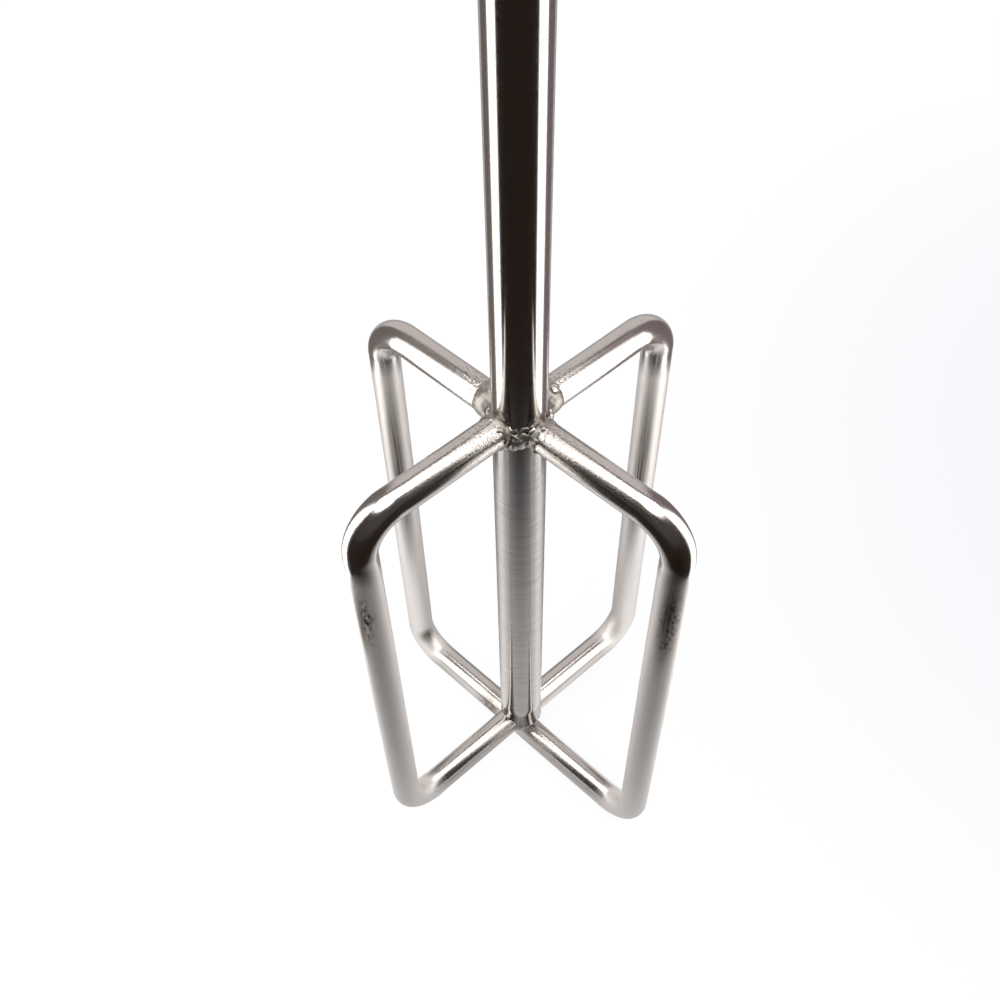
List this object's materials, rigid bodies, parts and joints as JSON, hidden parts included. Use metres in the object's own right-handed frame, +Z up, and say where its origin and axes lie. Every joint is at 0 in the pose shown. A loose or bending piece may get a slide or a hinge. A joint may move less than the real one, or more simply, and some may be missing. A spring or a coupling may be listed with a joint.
{
  "type": "drill paint mixer",
  "caption": "Paint and filler mixer for a drill: a long round shaft with two bent-wire hoops crossed and welded at its lower end, forming an open four-sided cage.",
  "frame": {"origin": "on the shaft's axis, level with the underside of the lower hoop", "axes": "+Z up along the shaft towards the drill; +X out along the lower hoop's front-right bar, turned 1.8 degrees towards +Y; +Y out along the upper hoop's back-right bar, turned 1.8 degrees towards +X"},
  "size_m": [0.064, 0.064, 0.4],
  "materials": {
    "shaft_steel": "round bar, centreless ground and polished, fine lines round it",
    "hoop_steel": "bright drawn and polished wire",
    "weld_steel": "rippled weld metal, heat-tinted at its edges"
  },
  "bodies": {
    "root": {"shaft": "shaft_steel", "upper_hoop": "hoop_steel", "lower_hoop": "hoop_steel", "left_bar_root_weld": "weld_steel", "right_bar_root_weld": "weld_steel", "front_bar_root_weld": "weld_steel", "back_bar_root_weld": "weld_steel", "front_right_seam_weld": "weld_steel", "back_right_seam_weld": "weld_steel", "back_left_seam_weld": "weld_steel", "front_left_seam_weld": "weld_steel", "front_right_corner_weld": "weld_steel", "back_right_corner_weld": "weld_steel", "back_left_corner_weld": "weld_steel", "front_left_corner_weld": "weld_steel"}
  },
  "joints": []
}
